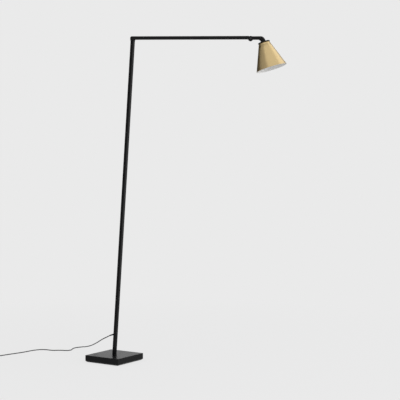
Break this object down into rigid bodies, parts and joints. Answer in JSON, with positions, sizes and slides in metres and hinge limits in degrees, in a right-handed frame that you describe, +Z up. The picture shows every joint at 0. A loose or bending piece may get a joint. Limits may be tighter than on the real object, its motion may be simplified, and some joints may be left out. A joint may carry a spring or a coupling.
{
  "type": "floor lamp",
  "caption": "Slim floor lamp: square slab base, leaning square pole, swinging square arm and a tilting satin brass cone shade on a bent neck, with a mains lead and foot switch.",
  "frame": {"origin": "middle of the base's underside, on the floor", "axes": "+Z up, +X the way that the pole leans, away from the mains lead, and the base's sides along X and Y"},
  "size_m": [1.2633, 0.8395, 1.4935],
  "materials": {
    "black_metal": "satin black powder coat",
    "satin_brass": "satin brass outside, white lacquer inside",
    "bare_aluminium": "turned",
    "bare_steel": "zinc plated",
    "black_steel": "black oxide",
    "bronze": "sintered bearing bronze",
    "black_rubber": "matt",
    "black_plastic": "fine spark-eroded grain",
    "white_nylon": "matt white",
    "phosphor": "yellow phosphor",
    "opal": "frosted opal"
  },
  "bodies": {
    "stand": {"base_plate": "black_metal", "base_pad": "black_rubber", "foot_spigot": "bare_aluminium", "foot_bolt": "bare_steel", "foot_washer": "bare_steel", "pole": "black_metal", "pole_grub_screws": "bare_steel", "cord_gland": "black_rubber", "pole_cable": "black_rubber", "pole_head": "black_metal", "swivel_circlip": "bare_steel", "cord_run": "black_rubber", "switch_sleeves": "black_rubber", "switch_lower": "black_plastic", "switch_upper": "black_plastic", "switch_screws": "bare_steel", "cord_tail": "black_rubber", "cord_coil": "black_rubber", "coil_tie": "black_rubber", "plug_body": "black_rubber", "plug_pins": "bare_steel"},
    "arm": {"arm_end_block": "black_metal", "swivel_bush": "bronze", "swivel_washer": "bare_steel", "swivel_cap": "black_metal", "arm_tube": "black_metal", "arm_grub_screws": "bare_steel", "arm_cable": "black_rubber", "arm_fork": "black_metal", "hinge_bolt": "black_steel", "hinge_nut": "black_steel", "hinge_washers": "white_nylon"},
    "head": {"head_elbow": "black_metal", "neck_nut": "bare_steel", "shade_cap": "black_metal", "shade": "satin_brass", "heat_sink": "bare_aluminium", "cap_screws": "bare_steel", "led_board": "white_nylon", "led_chip": "phosphor", "diffuser": "opal", "diffuser_ring": "white_nylon"},
    "button": {"switch_button": "black_plastic"}
  },
  "joints": [
    {"name": "arm_swivel", "type": "hinge", "parent": "stand", "child": "arm", "pos_m": [0.10698, 0, 1.4935], "axis": [0, 0, 1], "range_deg": [-202, 138]},
    {"name": "head_tilt", "type": "hinge", "parent": "arm", "child": "head", "pos_m": [0.56323, 0.2851, 1.4823], "axis": [-0.5299, 0.848, 0], "range_deg": [-35, 80]},
    {"name": "switch_press", "type": "slide", "parent": "stand", "child": "button", "axis": [0, 0, -1], "range_m": [0, 0.0025], "stiffness_N_per_m": 800, "springref_m": -0.001}
  ]
}
